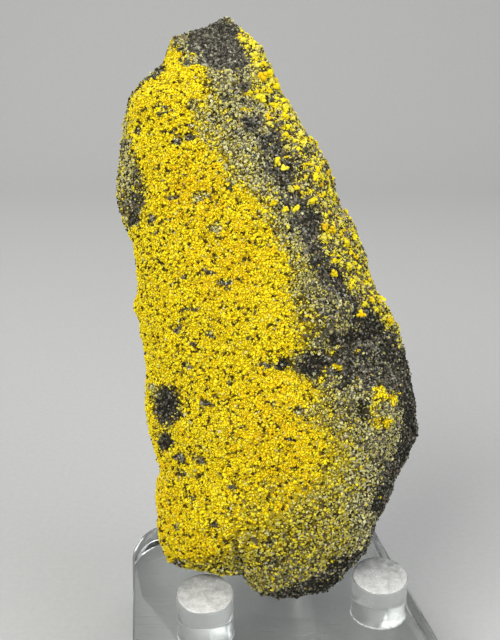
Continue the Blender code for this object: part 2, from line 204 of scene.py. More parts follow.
PEG_SIDES = 96
SIDE_RINGS = (0.25, 0.5, 0.75, 0.92)
TOP_RINGS = 14
TOP_EDGE, EDGE_IN, EDGE_DOWN = 0.3, 0.4, 0.25
PEG_CREASE = math.radians(50.0)
# The front of a top is past this share of its radius, and its sawn face is above this share of the height.
FRONT_FROM, SAWN_FROM = 0.9, 0.995
# The saw's marks: how deep they are in millimetres, and how many there are to a metre.
SAWN_DEPTH, SAW_MARKS = 0.035, 1900.0
SAWN_TONES = ((0.10, (0.25, 0.26, 0.255, 1.0)), (0.46, (0.80, 0.80, 0.785, 1.0)))
WORN_SCRATCHES = ((0.3, (2600, 2600, 50)), (1.2, (3400, 3400, 90)))
CLEAR_SIDE, SAWN_TOP, CEMENTED_FOOT = 0, 1, 2
FACES_UP, FACES_DOWN = 0.6, 0.99
# The bead of cement from the plate up, each (out from the peg, rise) in millimetres.
CEMENT_SINK = 0.05
CEMENT_BEAD = ((0.11, 0.0), (0.12, 0.07), (0.08, 0.13), (0.03, 0.22), (0.0, 0.34))
CEMENT_WHITE = (0.86, 0.88, 0.87, 1.0)
WELD = 0.001


def set_attribute(mesh, name, values):
    """Keeps one number for each point of the mesh, for its material to read."""
    made = mesh.attributes.new(name, "FLOAT", "POINT")
    made.data.foreach_set("value", np.asarray(values, np.float32))


def sawn_end():
    """The sawn end of a rod: grey frosted acrylic, whiter and more chipped towards the attribute to_front."""
    look, tree, shader = new_material(
        "sawn_acrylic", Roughness=0.8, Transmission_Weight=0.15, IOR=ACRYLIC_IOR, Specular_IOR_Level=0.25,
    )
    place = tree.nodes.new("ShaderNodeTexCoord").outputs["Object"]
    fine = blotches(tree, place, 3400.0, 5.0, 0.75)
    cloud = blotches(tree, place, 620.0, 4.0, 0.65)
    front = add_node(tree, "ShaderNodeAttribute", attribute_name="to_front")
    chipped = rescaled(tree, front.outputs["Fac"], -0.9, 1.0, -0.10, 0.16)
    mixed = add_node(tree, "ShaderNodeMath", [(fine, 0), (cloud, 1)], operation="MULTIPLY")
    whole = add_node(tree, "ShaderNodeMath", [(mixed.outputs["Value"], 0), (chipped, 1)], operation="ADD")
    white = add_node(tree, "ShaderNodeValToRGB", [(whole.outputs["Value"], "Fac")])
    for step, (share, colour) in zip(white.color_ramp.elements, SAWN_TONES):
        step.position, step.color = share, colour
    tree.links.new(white.outputs["Color"], shader.inputs["Base Color"])
    tree.links.new(relief(tree, fine, 0.8, 0.14), shader.inputs["Normal"])
    return look


def dried_cement():
    """The cement squeezed out round a peg's foot and dried to a hazy white bead."""
    look, tree, shader = new_material(
        "dried_cement", Base_Color=CEMENT_WHITE, Transmission_Weight=0.45, IOR=ACRYLIC_IOR,
    )
    place = tree.nodes.new("ShaderNodeTexCoord").outputs["Object"]
    haze = blotches(tree, place, 1500.0, 3.0)
    tree.links.new(rescaled(tree, haze, 0.3, 0.7, 0.12, 0.5), shader.inputs["Roughness"])
    return look


frosted_top = sawn_end()
worn_acrylic = acrylic("worn_acrylic", roughness=0.13, clearness=0.82, scratch_runs=WORN_SCRATCHES)
cement = dried_cement()
for node, name in (
    ("short_peg_left", "acrylic_peg_left"),
    ("short_peg_right", "acrylic_peg_right"),
    ("tall_peg_rear", "acrylic_peg_rear"),
):
    low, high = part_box(node)
    centre = (low + high) / 2.0
    radius = (high.x - low.x) / 2.0
    top_points = [vert.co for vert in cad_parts[node].data.vertices if vert.co.z > centre.z]
    front_top = max(point.z for point in top_points if point.y < centre.y - radius * FRONT_FROM)
    slope = (high.z - front_top) / (2.0 * radius)
    foot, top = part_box("stand_plate")[1].z - CEMENT_SINK * MM, (high.z + front_top) / 2.0
    eased = TOP_EDGE * MM
    bead = [(radius + out * MM, foot + rise * MM) for out, rise in CEMENT_BEAD]
    outline = [(0.0, foot), *bead]
    outline += [(radius, foot + (top - foot) * share) for share in SIDE_RINGS]
    outline += [(radius, top - eased), (radius - eased * EDGE_IN, top - eased * EDGE_DOWN)]
    outline += [((radius - eased) * (1.0 - ring / TOP_RINGS), top) for ring in range(TOP_RINGS + 1)]
    bm = bmesh.new()
    profile = [bm.verts.new((r, 0.0, z)) for r, z in outline]
    edges = [bm.edges.new(pair) for pair in zip(profile, profile[1:])]
    bmesh.ops.spin(
        bm, geom=profile + edges, cent=(0.0, 0.0, 0.0), axis=(0.0, 0.0, 1.0), angle=math.tau, steps=PEG_SIDES,
    )
    bmesh.ops.remove_doubles(bm, verts=bm.verts, dist=WELD * MM)
    bmesh.ops.recalc_face_normals(bm, faces=bm.faces)
    for vert in bm.verts:
        upper = (vert.co.z - foot) / (top - foot)
        vert.co.z += vert.co.y * slope * upper
        if upper > SAWN_FROM:
            vert.co.z += noise.noise(vert.co * SAW_MARKS) * SAWN_DEPTH * MM
    bmesh.ops.translate(bm, vec=(centre.x, centre.y, 0.0), verts=bm.verts)
    peg = piece_from(bm, name, worn_acrylic, frosted_top, cement)
    for polygon in peg.data.polygons:
        if polygon.center.z > centre.z:
            polygon.material_index = SAWN_TOP if polygon.normal.z > FACES_UP else CLEAR_SIDE
        elif polygon.center.z < foot + CEMENT_BEAD[-1][1] * MM and abs(polygon.normal.z) < FACES_DOWN:
            polygon.material_index = CEMENTED_FOOT
    set_attribute(peg.data, "to_front", [(centre.y - vert.co.y) / radius for vert in peg.data.vertices])
    peg.data.shade_smooth()
    peg.data.set_sharp_from_angle(angle=PEG_CREASE)
    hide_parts(node)


# The stone itself: a hand-sized chip of fine sandstone, soaked black with coffinite and broken off by hammer.
# It leans back on the stand. Its crusted face is dusted yellow and brown between the grains, and its back and
# sides show the rock's layers.

LEAN = math.radians(21.0)
VOXEL, SMOOTH_ROUNDS = 0.375, 3
# How far each kind of relief lifts or sinks the rock's surface, in millimetres.
KNOB_LIFT, BUMP_LIFT, GRAIN_LIFT, LAYER_LIFT = 0.17, 0.12, 0.05, 0.55
GRAIN_ROOM, PIT_DEPTH, GROOVE_DEPTH = 0.06, 0.22, 0.8
BROKEN_LIFT, BROKEN_BACK_LIFT, BROKEN_LEVEL = 0.16, 0.14, 1.4
GRAINS_TO_A_METRE, BREAKS_TO_A_METRE = 1900.0, 170.0
LAYER_WIDTH, LAYER_CONTRAST = 3.4, 0.55

STONE_RIGHT = np.array((1.0, 0.0, 0.0))
STONE_IN = np.array((0.0, math.cos(LEAN), -math.sin(LEAN)))
STONE_UP = np.array((0.0, math.sin(LEAN), math.cos(LEAN)))

# The bounds of the minerals across the crusted face, in millimetres to the right, one row for each height up
# the stone: the crust's left edge, the end of the dense yellow, of the mixture with pale grains and of the
# pale grains, and the inner edge of the ridge of clumps.
FACE_ROWS = (
    (98.0, -15.6, -15.6, -14.6, -14.0, -4.2), (95.0, -16.1, -15.0, -14.4, -13.6, -4.9),
    (93.0, -16.7, -15.0, -14.4, -13.0, -4.3), (91.4, -17.0, -13.6, -12.8, -11.8, -3.7),
    (90.2, -17.3, -14.7, -14.2, -13.0, -2.6), (89.2, -17.4, -11.0, -9.8, -9.2, -2.0),
    (88.2, -17.6, -10.3, -9.3, -6.4, -1.8), (87.2, -20.4, -9.8, -8.6, -5.4, -2.4),
    (85.5, -21.8, -9.5, -7.9, -4.8, -2.4), (84.0, -22.4, -9.4, -7.6, -3.4, -3.0),
    (82.4, -22.9, -11.0, -7.6, -3.4, -0.6), (80.0, -23.4, -11.8, -5.4, -4.2, -1.0),
    (78.0, -23.6, -12.8, -4.6, -3.8, 1.8), (76.0, -22.8, -10.6, -4.2, -0.8, 2.6),
    (74.0, -21.6, -8.6, -3.0, -0.8, 4.0), (72.0, -21.0, -8.2, -2.0, -0.6, 5.2),
    (70.0, -20.0, -7.2, -0.6, 0.6, 4.6), (68.0, -19.6, -3.6, 1.0, 2.2, 4.4),
    (66.0, -19.8, -1.8, 2.0, 3.2, 7.4), (64.0, -20.6, -0.6, 2.8, 3.8, 9.0),
    (62.0, -23.0, -0.2, 3.2, 4.2, 8.2), (60.0, -30.0, 0.6, 4.8, 6.2, 8.2),
    (58.0, -30.0, 2.0, 6.0, 7.2, 9.6), (56.0, -30.0, 4.6, 6.2, 7.6, 10.6),
    (54.0, -30.0, 3.4, 6.8, 8.2, 12.0), (52.0, -30.0, 2.2, 6.6, 10.6, 14.2),
    (50.0, -30.0, 4.2, 7.6, 13.8, 15.0), (48.0, -30.0, 4.2, 9.0, 13.6, 18.4),
    (46.0, -30.0, 5.2, 9.4, 14.0, 20.2), (44.6, -30.0, 5.6, 7.6, 8.8, 21.4),
    (43.0, -30.0, 5.0, 8.0, 12.0, 22.8), (41.4, -30.0, 3.4, 4.4, 5.0, 24.6),
    (39.4, -30.0, 3.2, 4.2, 4.8, 30.0), (38.0, -30.0, 6.0, 8.2, 13.6, 30.0),
    (36.0, -30.0, 8.0, 10.6, 18.0, 30.0), (34.4, -30.0, 7.0, 11.8, 21.6, 30.0),
    (33.0, -30.0, 4.6, 12.6, 21.8, 30.0), (31.4, -30.0, 6.4, 13.4, 21.8, 30.0),
    (29.6, -30.0, 9.6, 14.4, 21.8, 30.0), (27.0, -30.0, 11.4, 15.2, 21.4, 30.0),
    (24.6, -30.0, 10.6, 15.8, 19.8, 30.0), (22.0, -30.0, 8.0, 15.8, 18.6, 30.0),
    (19.0, -30.0, 4.4, 15.2, 17.6, 30.0), (16.0, -30.0, 1.2, 14.8, 17.6, 30.0),
    (13.0, -30.0, -5.0, 15.4, 17.8, 30.0), (10.0, -30.0, -6.4, 15.0, 16.8, 30.0),
    (8.0, -30.0, -7.0, 11.6, 14.0, 30.0), (6.4, -30.0, -9.0, 8.4, 10.2, 30.0),
    (4.0, -30.0, -12.0, 6.2, 7.4, 30.0), (2.0, -30.0, -14.0, 2.2, 3.4, 30.0),
    (0.6, -30.0, -16.0, -3.0, -2.0, 30.0),
)
# Spots on the face, each (right, up, half width, half height) in millimetres, by what shows or lies there.
BARE_AND_SHADE_SPOTS = (
    (-16.2, 33.4, 2.5, 3.3), (-16.5, 27.6, 1.2, 1.6), (-14.0, 24.8, 0.8, 0.6), (-10.9, 24.6, 1.0, 0.8),
    (-14.0, 22.4, 0.6, 0.7), (-12.0, 18.7, 0.4, 0.4), (-2.0, 11.5, 0.9, 0.7), (0.2, 10.9, 0.7, 0.8),
    (3.0, 12.0, 0.5, 0.4), (-7.0, 11.5, 0.5, 0.4), (2.3, 40.7, 1.3, 0.9), (0.0, 40.2, 0.7, 0.6),
    (-21.8, 64.2, 1.3, 1.6), (-22.2, 67.2, 1.4, 1.0), (-23.6, 76.6, 0.9, 1.1), (-18.7, 88.8, 1.4, 1.4),
    (-16.2, 81.9, 0.7, 0.5), (-16.5, 80.7, 0.6, 0.4), (-20.8, 78.2, 0.4, 0.8), (-14.9, 77.8, 0.6, 0.4),
    (-14.3, 76.3, 0.8, 0.7), (-12.4, 76.5, 0.7, 0.6), (-13.7, 70.8, 0.4, 0.3), (-15.4, 67.1, 0.8, 0.5),
    (-5.8, 69.0, 0.6, 0.9), (-8.4, 66.0, 0.5, 0.3), (-18.6, 63.6, 0.6, 0.5), (-17.6, 61.4, 0.6, 0.4),
    (-16.6, 59.3, 0.6, 0.4), (-9.2, 55.4, 0.6, 0.4), (-13.2, 54.1, 0.8, 0.4), (-6.6, 53.4, 0.8, 0.5),
    (-3.6, 57.2, 0.5, 0.4), (-12.0, 49.0, 1.3, 0.4), (-14.3, 46.2, 0.5, 0.9), (-9.0, 44.9, 0.9, 0.4),
    (-11.8, 43.6, 0.7, 0.6), (-2.8, 44.6, 0.6, 0.4), (-13.0, 40.2, 0.9, 0.4), (-5.6, 37.4, 0.5, 0.5),
    (1.0, 34.0, 0.6, 0.6), (5.0, 32.8, 0.9, 0.7), (3.4, 28.6, 0.6, 0.5), (-5.4, 20.0, 0.6, 0.5),
    (-8.4, 14.3, 0.5, 0.4), (-14.8, 6.2, 1.0, 0.9), (-11.2, 6.6, 0.6, 0.4), (-7.0, 5.8, 1.2, 0.6),
    (-14.6, 13.2, 0.4, 0.4), (-9.6, 34.0, 0.9, 0.5), (-13.5, 93.0, 1.6, 0.9), (-12.8, 90.3, 1.5, 0.6),
    # The first two spots of the next row lie along the groove between the lower lobes: the dark rock bared
    # there is painted shade in the groove.
    (-4.6, 4.6, 0.7, 2.6), (-4.7, 9.4, 0.4, 1.6), (-1.0, 9.0, 0.6, 0.4), (1.4, 7.6, 0.7, 0.5),
    (4.0, 9.4, 0.6, 0.4), (6.2, 12.6, 0.6, 0.5), (-0.4, 4.6, 0.7, 0.6), (3.2, 4.4, 0.9, 0.6),
    (8.0, 7.4, 0.9, 0.7), (10.4, 11.0, 0.6, 0.4), (-1.6, 13.4, 0.7, 0.4), (6.0, 3.0, 1.2, 0.6),
)
YELLOW_ISLANDS = (
    (18.4, 35.6, 1.5, 0.9), (20.4, 34.7, 1.3, 1.0), (17.2, 33.6, 0.8, 1.4), (17.6, 31.4, 0.8, 1.2),
    (19.6, 30.8, 1.3, 0.8), (-3.4, 81.7, 0.9, 0.3), (-1.0, 84.2, 1.0, 0.6), (-2.8, 84.4, 0.8, 0.6),
    (11.3, 40.1, 0.9, 0.6), (10.3, 42.6, 0.9, 0.5), (9.3, 39.5, 0.6, 0.5), (9.0, 38.0, 0.8, 0.5),
    (5.6, 43.0, 0.9, 0.5), (14.9, 42.0, 0.5, 0.4), (-19.0, 90.6, 0.7, 0.5), (-12.0, 91.4, 0.6, 0.5),
)
PALE_SPOTS = (
    (-13.9, 94.4, 1.0, 0.9), (-12.0, 91.0, 0.8, 0.9), (-11.8, 82.2, 1.0, 1.1), (-8.6, 79.6, 1.3, 1.0),
    (-11.9, 78.5, 1.0, 0.6), (-10.5, 67.3, 1.2, 0.9), (-8.4, 61.7, 1.2, 0.7), (-8.7, 45.5, 0.6, 0.4),
    (-18.6, 36.0, 0.9, 1.0), (-22.8, 72.6, 1.3, 4.4), (-24.0, 80.4, 0.9, 3.0), (-2.2, 82.2, 1.8, 1.8),
    (-0.9, 78.4, 1.2, 1.0), (-3.0, 88.0, 1.4, 1.6), (21.0, 32.4, 0.8, 1.6), (-14.4, 96.0, 1.4, 0.5),
    (-6.2, 98.4, 1.0, 0.7), (-4.6, 97.2, 0.7, 0.6), (-19.4, 88.9, 0.8, 0.5), (15.9, 12.8, 1.6, 3.4),
)
GOLDEN_SPOTS = (
    (-16.8, 15.0, 3.4, 9.0), (0.6, 30.0, 6.0, 8.0), (-11.0, 9.0, 6.0, 3.4), (-7.0, 56.0, 6.0, 6.0),
    (-12.0, 68.0, 5.0, 6.0), (14.6, 62.0, 3.0, 5.0), (5.0, 19.0, 4.0, 4.0),
)
AGED_SPOTS = ((3.5, 11.5, 10.5, 10.0), (-8.0, 5.6, 7.0, 2.6), (13.0, 24.0, 4.0, 7.0), (7.0, 46.5, 3.0, 3.0))
GROOVES_BETWEEN_LOBES = ((-4.5, 4.6, 0.9, 5.0), (-5.0, 9.5, 0.7, 3.0))
WORN_SPOTS = ((9.6, 48.5, 5.0, 4.5), (5.0, 41.5, 3.0, 2.5))
# Black spots of bare coffinite. The one at 12.4 mm right and 44.7 mm up is painted shadow under the ledge's
# overhang.
BLACK_AND_SHADOW_SPOTS = (
    (17.0, 46.4, 2.6, 2.2), (12.4, 44.7, 3.4, 0.8), (7.4, 39.9, 2.6, 2.3), (15.4, 32.8, 1.5, 2.0),
    (24.0, 28.0, 1.7, 12.0), (19.2, 17.4, 1.5, 2.6), (12.4, 6.2, 2.4, 1.8), (10.4, 2.6, 3.0, 1.8),
    (5.4, 0.2, 4.0, 0.9), (3.8, 73.0, 1.5, 2.2), (7.4, 63.2, 1.8, 3.0),
    (4.0, 66.8, 1.8, 1.6), (9.0, 56.0, 2.2, 2.6), (12.0, 54.6, 1.6, 2.6), (-3.4, 79.0, 1.1, 1.6),
    (-6.2, 84.0, 0.9, 0.6), (-16.2, 33.3, 2.6, 3.4), (-16.5, 27.6, 1.3, 1.8), (2.3, 40.6, 1.6, 1.2),
    (12.4, 37.4, 1.2, 1.0), (-22.0, 65.6, 1.6, 2.6), (-13.6, 93.0, 1.6, 0.8), (21.6, 42.0, 2.6, 3.4),
)
# Where the crust thins out up or across the face: from the first number of each pair to the second.
CRUST_TOP, RIDGE_TOP, RIDGE_FOOT = (95.8, 94.6), (98.0, 96.4), (41.0, 43.0)
FOOT_UP, FOOT_ACROSS, BELOW_TOP = (10.5, 6.0), (-16.0, -8.0), (92.0, 84.0)
UPPER_FACE, LOWER_FACE, LOWER_RIGHT = (56.0, 66.0), (42.0, 38.0), (10.0, 15.0)
LEFT_FLANK, FLANK_UP, UPPER_ROCK = (-20.5, -22.5), (58.0, 64.0), (50.0, 53.0)
# How much of the yellow and the pale crust stays or goes in each kind of place.
MIXED_LOSS, LEFT_YELLOW, STRAY_YELLOW, ISLAND_YELLOW, FOOT_LOSS = 0.80, 0.38, 0.03, 0.9, 0.45
PALE_COVER, SPOT_PALE, FLANK_PALE, STRAY_PALE = 0.88, 0.9, 0.30, 0.07
PALE_GAPS, WORN_LOSS, LOWER_RIGHT_LOSS, YELLOW_LOSS_IN_PALE = 0.70, 0.4, 0.28, 0.75
PIT_FROM, PIT_SOFTNESS, PIT_LOSS = 0.28, 0.12, 0.92
UPPER_PITS, MIXED_PITS = 0.03, 0.18
# How strongly the crust's random patterns move its edges, in millimetres.
WANDER_BLOTS, WANDER_FINE, WANDER_SPECKS = 0.9, 0.6, 0.35


def on_stone(points):
    """Turns points of the frame into millimetres right, in and up along the leaning stone."""
    away = (np.asarray(points) - np.array(stone_origin)) / MM
    return away @ STONE_RIGHT, away @ STONE_IN, away @ STONE_UP


def ease(low, high, value):
    """0 up to low, 1 from high on, and smooth between them. low may lie above high."""
    share = np.clip((value - low) / (high - low), 0.0, 1.0)
    return share * share * (3.0 - 2.0 * share)


def mottle(points, width, shift):
    """A soft random pattern between about -1 and 1, whose blots are width millimetres across."""
    offset = Vector((shift, 2.0 * shift, 0.5 * shift))
    scale = 1.0 / (width * MM)
    return np.array([1.6 * noise.noise(Vector(point) * scale + offset) for point in points])


def patch(right, up, spots, softness=0.35):
    """How strongly soft oval spots, each (right, up, half width, half height), cover a place, from 0 to 1."""
    cover = np.zeros_like(right)
    for spot_right, spot_up, wide, tall in spots:
        far = np.hypot((right - spot_right) / wide, (up - spot_up) / tall)
        cover = np.maximum(cover, ease(1.0 + softness, 1.0 - softness, far))
    return cover


def crust_cover(points, facing):
    """How thickly each mineral lies at points of the surface, from 0 to 1, and where pits break the crust.

    facing is 1 where the surface looks out from the crusted face and -1 on the back. veil is the yellow crust
    as it would lie without its pits.
    """
    right, _, up = on_stone(points)
    blots = mottle(points, 2.4, 3.0)
    fine_blots = mottle(points, 1.0, 9.0)
    specks = mottle(points, 0.55, 15.0)
    pits = 0.48 * mottle(points, 0.85, 21.0) + 0.72 * mottle(points, 0.46, 27.0)
    wander = WANDER_BLOTS * blots + WANDER_FINE * fine_blots + WANDER_SPECKS * specks
    ragged_right = right + 0.55 * fine_blots + 0.45 * specks
    ragged_up = up + 0.5 * blots + 0.55 * pits
    rows = np.array(FACE_ROWS[::-1]).T
    left_edge, dense_end, mixed_end, pale_end, ridge_start = (
        np.interp(up + 0.4 * wander, rows[0], bound) for bound in rows[1:]
    )
    across = right + wander
    mixing = np.clip((across - dense_end + 0.6) / (mixed_end - dense_end + 1.2), 0.0, 1.0)
    yellow = (1.0 - MIXED_LOSS * mixing ** 0.7) * ease(mixed_end + 1.1, mixed_end - 0.2, across)
    yellow += 0.30 * fine_blots * ease(0.0, 0.35, mixing) * ease(1.0, 0.9, mixing)
    yellow = np.maximum(yellow, STRAY_YELLOW * ease(pale_end + 2.0, pale_end, across))
    left_share = ease(left_edge - 0.5, left_edge + 0.7, right + 0.5 * wander)
    yellow *= LEFT_YELLOW + (1.0 - LEFT_YELLOW) * left_share
    thin_foot = 1.0 - FOOT_LOSS * ease(*FOOT_UP, up) * ease(*FOOT_ACROSS, right)
    bare = patch(ragged_right, ragged_up, BARE_AND_SHADE_SPOTS)
    yellow *= thin_foot * ease(*CRUST_TOP, up + 0.4 * fine_blots) * (1.0 - bare)
    pale_spots = patch(ragged_right, ragged_up, PALE_SPOTS)
    yellow *= 1.0 - YELLOW_LOSS_IN_PALE * pale_spots
    yellow = np.maximum(yellow, ISLAND_YELLOW * patch(ragged_right, ragged_up, YELLOW_ISLANDS))
    pit_from = PIT_FROM - UPPER_PITS * ease(*UPPER_FACE, up) - MIXED_PITS * ease(0.0, 0.45, mixing)
    pit = ease(pit_from, pit_from + PIT_SOFTNESS, pits)
    veil = yellow.copy()
    yellow = yellow * (1.0 - PIT_LOSS * pit)
    ridge = ease(ridge_start - 0.7, ridge_start + 0.7, right + 0.8 * wander) * ease(*RIDGE_FOOT, up)
    ridge *= ease(*RIDGE_TOP, up)
    pale = PALE_COVER * ease(-0.8, 1.6, across - dense_end) * ease(pale_end + 0.9, pale_end - 0.6, across)
    pale = np.maximum(pale, SPOT_PALE * pale_spots)
    pale = np.maximum(pale, FLANK_PALE * ease(*LEFT_FLANK, right) * ease(*FLANK_UP, up))
    pale = np.maximum(pale, STRAY_PALE * ease(30.0, 20.0, right) * ease(*BELOW_TOP, up))
    pale *= 1.0 - PALE_GAPS * ease(0.14, 0.32, 0.6 * specks - 0.5 * pits + 0.3 * fine_blots)
    pale *= 1.0 - WORN_LOSS * patch(right, up, WORN_SPOTS, 0.6)
    pale *= 1.0 - LOWER_RIGHT_LOSS * ease(*LOWER_RIGHT, right) * ease(*LOWER_FACE, up)
    # black is bare coffinite, and under the ledge a painted shadow.
    black = patch(ragged_right, ragged_up, BLACK_AND_SHADOW_SPOTS, 0.25) * (1.0 - 0.4 * ease(*UPPER_ROCK, up))
    wrap_left = np.where(right < 0.0, ease(-0.35, 0.15, facing), ease(-0.1, 0.25, facing))
    wrap_ridge = ease(-0.45, 0.0, facing + 0.15 * blots)
    black = np.maximum(black, 0.3 * ease(0.0, -0.4, facing) * ease(-0.1, 0.4, blots))
    return {
        "yellow": yellow * wrap_left, "veil": veil * wrap_left, "ridge": ridge * wrap_ridge,
        "pale": pale * wrap_left * (1.0 - 0.65 * black), "black": black, "pit": pit,
    }


def rock_layers(points, facing):
    """How much lighter or darker the rock's layer is, about 1, on the broken back and sides."""
    right, inward, up = on_stone(points)
    across = 0.9 * up + 0.42 * right + 0.3 * inward
    squeezed = np.stack((0.10 * right, 0.10 * inward, across), axis=1) * MM
    layers = mottle(squeezed, LAYER_WIDTH, 51.0) + 0.5 * mottle(points, 6.0, 57.0)
    return 1.0 + LAYER_CONTRAST * np.clip(layers, -1.0, 1.2) * ease(0.35, -0.1, facing)


# The rock's grains from the darkest to the glassiest, each (share, colour), and the films that lie on them.
# The glassiest, palest tones at the top of the ramp are partly painted glints.
ROCK_TONES = (
    (0.0, (0.012, 0.011, 0.008, 1.0)), (1.0, (0.30, 0.29, 0.22, 1.0)), (0.40, (0.034, 0.032, 0.024, 1.0)),
    (0.72, (0.095, 0.090, 0.066, 1.0)), (0.90, (0.18, 0.175, 0.135, 1.0)),
)
ROCK_FILMS = (
    ("soot_and_shadow", (0.012, 0.0115, 0.009, 1.0)), ("ash", (0.175, 0.150, 0.040, 1.0)),
    ("rust", (0.085, 0.057, 0.005, 1.0)), ("dust", (0.54, 0.385, 0.004, 1.0)),
)


def sandstone():
    """Black sandstone: sugary grains of quartz in coffinite, a few of them glassy and pale, partly as painted
    glints, dusted with zippeite.
    """
    look, tree, shader = new_material("coffinite_sandstone", Specular_IOR_Level=0.07)
    place = tree.nodes.new("ShaderNodeTexCoord").outputs["Object"]
    grains = add_node(tree, "ShaderNodeTexVoronoi", [(place, "Vector")], Scale=2500.0, Randomness=1.0)
    grit = blotches(tree, place, 5200.0, 4.0, 0.7)
    cloud = blotches(tree, place, 150.0, 5.0, 0.62)
    shade = add_node(tree, "ShaderNodeSeparateColor", [(grains.outputs["Color"], "Color")])
    grey = add_node(tree, "ShaderNodeValToRGB", [(shade.outputs["Red"], "Fac")])
    steps = grey.color_ramp.elements
    for step, (share, colour) in zip(steps, ROCK_TONES[:2]):
        step.position, step.color = share, colour
    for share, colour in ROCK_TONES[2:]:
        steps.new(share).color = colour
    tone = rescaled(tree, cloud, 0.32, 0.68, 0.85, 2.2)
    layer = add_node(tree, "ShaderNodeAttribute", attribute_name="layer")
    depth = add_node(tree, "ShaderNodeMath", [(tone, 0), (layer.outputs["Fac"], 1)], operation="MULTIPLY")
    toned = add_node(
        tree, "ShaderNodeVectorMath", [(grey.outputs["Color"], 0), (depth.outputs["Value"], "Scale")],
        operation="SCALE",
    )
    colour = toned.outputs["Vector"]
    speckle = rescaled(tree, shade.outputs["Green"], 0.05, 0.30, 0.55)
    for film, tint in ROCK_FILMS:
        amount = add_node(tree, "ShaderNodeAttribute", attribute_name=film)
        share = add_node(
            tree, "ShaderNodeMath", [(amount.outputs["Fac"], 0), (speckle, 1)], operation="MULTIPLY",
        )
        mixed = add_node(tree, "ShaderNodeMix", data_type="RGBA")
        tree.links.new(share.outputs["Value"], mixed.inputs["Factor"])
        tree.links.new(colour, mixed.inputs[6])
        mixed.inputs[7].default_value = tint
        colour = mixed.outputs[2]
    tree.links.new(colour, shader.inputs["Base Color"])
    gloss = rescaled(tree, shade.outputs["Blue"], 0.0, 1.0, 0.55, 0.95)
    tree.links.new(gloss, shader.inputs["Roughness"])
    domes = relief(tree, grains.outputs["Distance"], 0.9, 0.22, inward=True)
    tree.links.new(relief(tree, grit, 0.55, 0.09, over=domes), shader.inputs["Normal"])
    return look


def mesh_arrays(mesh):
    """The mesh's points and the directions that its surface faces there."""
    points = np.zeros(len(mesh.vertices) * 3)
    mesh.vertices.foreach_get("co", points)
    normals = np.zeros(len(mesh.vertices) * 3)
    mesh.vertices.foreach_get("normal", normals)
    return points.reshape(-1, 3), normals.reshape(-1, 3)


bm = bmesh.new()
bm.from_mesh(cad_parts["stone"].data)
bmesh.ops.remove_doubles(bm, verts=bm.verts, dist=WELD * MM)
stone = piece_from(bm, "sandstone_body", sandstone())
finer = stone.modifiers.new("even_skin", "REMESH")
finer.mode = "VOXEL"
finer.voxel_size = VOXEL * MM
relax = stone.modifiers.new("relax", "SMOOTH")
relax.factor = 0.5
relax.iterations = SMOOTH_ROUNDS
graph = bpy.context.evaluated_depsgraph_get()
smooth_mesh = bpy.data.meshes.new_from_object(stone.evaluated_get(graph))
stone.modifiers.clear()
stone.data = smooth_mesh
stone.data.materials.clear()
stone.data.materials.append(bpy.data.materials["coffinite_sandstone"])

points, normals = mesh_arrays(stone.data)
facing = -normals @ STONE_IN
cover = crust_cover(points, facing)
crusted = np.clip(cover["veil"] + 0.6 * cover["pale"] + 0.4 * cover["ridge"], 0.0, 1.0)
knobs = mottle(points, 2.2, 1.0)
bumps = mottle(points, 0.95, 5.0)
grain = np.array([noise.cell(Vector(point) * GRAINS_TO_A_METRE) for point in points])
broken_rock = np.array([
    noise.ridged_multi_fractal(Vector(point) * BREAKS_TO_A_METRE, 1.0, 2.2, 3, 0.9, 2.0) for point in points
])
lift = KNOB_LIFT * knobs + BUMP_LIFT * bumps + GRAIN_LIFT * grain - GRAIN_ROOM - PIT_DEPTH * cover["pit"]
roughness = BROKEN_LIFT + BROKEN_BACK_LIFT * ease(0.2, -0.3, facing)
lift += (1.0 - crusted) * roughness * (broken_rock - BROKEN_LEVEL)
lift += LAYER_LIFT * (rock_layers(points, facing) - 1.0)
right, _, up = on_stone(points)
lift -= GROOVE_DEPTH * patch(right + 0.4 * bumps, up, GROOVES_BETWEEN_LOBES, 0.9) * ease(0.0, 0.4, facing)
points = points + normals * (lift * MM)[:, None]
stone.data.vertices.foreach_set("co", points.ravel())
stone.data.update()
stone.data.shade_smooth()
set_attribute(stone.data, "layer", rock_layers(points, facing))
# The black film: coffinite, and under the ledge a painted shadow.
set_attribute(stone.data, "soot_and_shadow", 0.9 * cover["black"] * (1.0 - cover["yellow"]))
set_attribute(stone.data, "ash", np.clip(0.8 * cover["pale"] + 0.3 * cover["ridge"], 0.0, 1.0))
set_attribute(stone.data, "rust", np.maximum(0.9 * ease(0.1, 0.6, cover["veil"]), 0.6 * cover["ridge"]))
set_attribute(stone.data, "dust", ease(0.45, 0.9, cover["yellow"]))
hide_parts("stone")


# The crust: zippeite in crumbs of about 0.4 mm, each a tuft of tiny crystals that grew on the rock.
# The bright yellow crumbs nearly touch over the left of the face. Paler, greyer ones fade out to its right.

CRUST_SEED, CRUMB_CELL, TRIES_IN_A_CELL, CELL_STEP = 7, 0.32, 7.0, 4099
CRUMB_SIZE, SIZE_SPREAD, SIZE_LIMITS, AGED_GROWTH = 0.185, 0.28, (0.5, 1.75), 0.2
# The last of these is how dark the painted shade on each crumb's underside gets.
CRUMB_STRETCH, CRUMB_RISE, PAINTED_UNDERSIDE_SHADE = (0.72, 1.3), 0.6, 0.88
ANGULAR_TIPS = ((1, 0, 0), (0, 1, 0), (-1, 0, 0), (0, -1, 0), (0, 0, 1), (0, 0, -1))
CRUST_WRAP = -0.45
MOST_BLOCKY, MOST_ANGULAR = 16500, 24500
CRUST_PARTS = (("upper", 63.0, 200.0), ("middle", 35.0, 63.0), ("lower", -50.0, 35.0))


